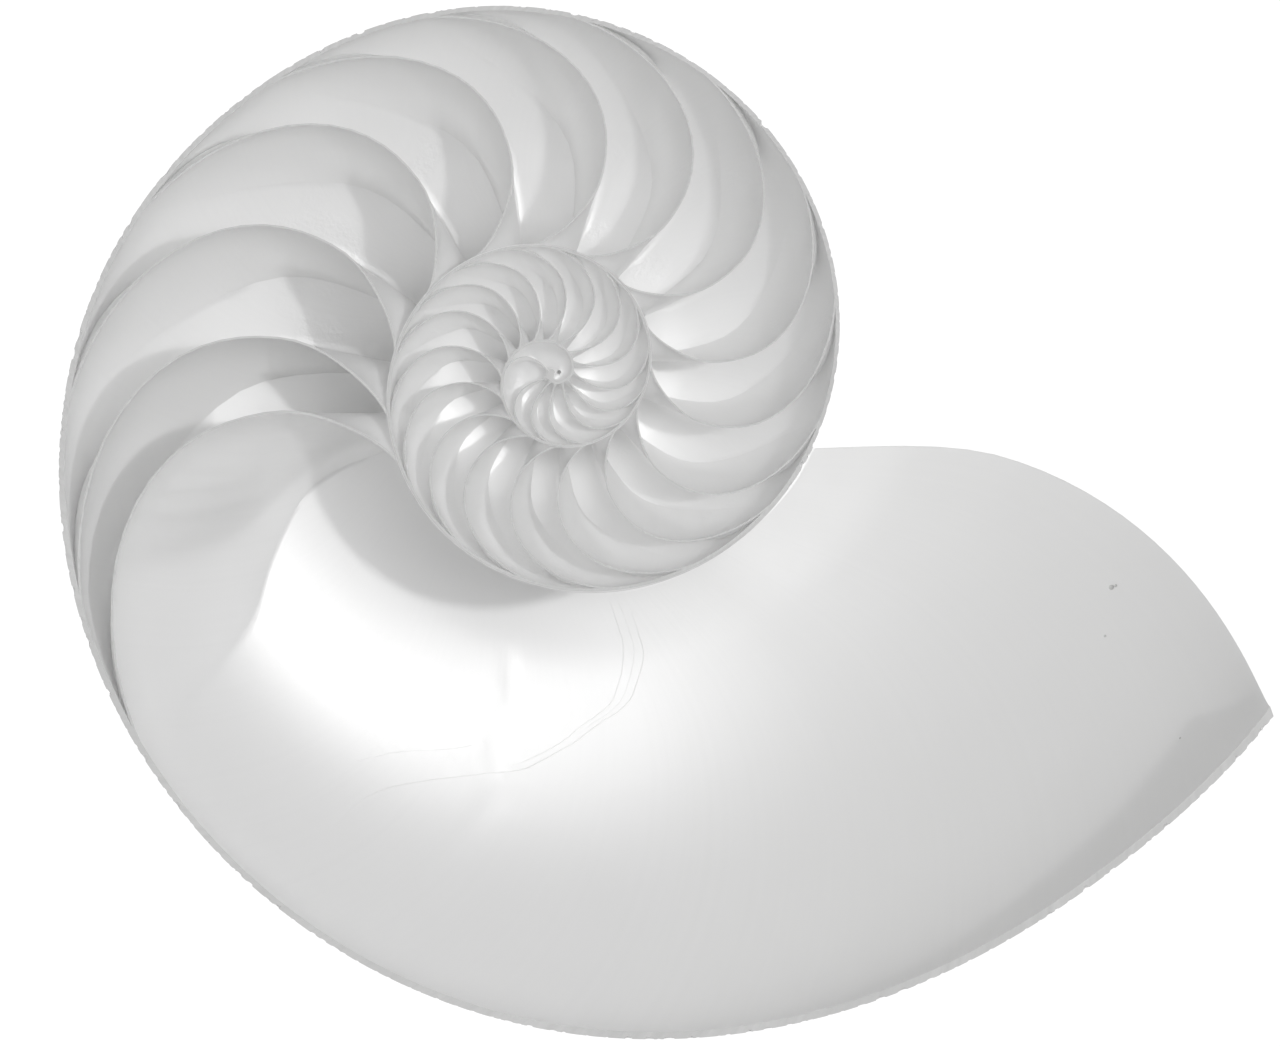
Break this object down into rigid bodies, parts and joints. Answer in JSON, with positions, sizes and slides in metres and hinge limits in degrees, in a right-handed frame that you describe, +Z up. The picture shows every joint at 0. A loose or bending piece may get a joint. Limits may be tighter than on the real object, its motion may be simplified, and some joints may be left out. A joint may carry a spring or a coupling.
{
  "type": "nautilus shell half",
  "caption": "Chambered nautilus shell sawn in half along its plane of symmetry, resting on its rounded flank with the open spiral of curved septa facing up.",
  "frame": {"origin": "on the resting surface, under the middle of the shell half's box", "axes": "+X towards the pointed lip of the aperture, along the longest extent; +Z up, away from the surface that the flank rests on; the sawn face leans about 11 degrees from level, lowest on the coil's -X side"},
  "size_m": [0.1624, 0.1392, 0.0513],
  "materials": {
    "nacre": "pearly nacre, sawn edges left fine-ground"
  },
  "bodies": {
    "root": {"nautilus_shell_half": "nacre"}
  },
  "joints": []
}
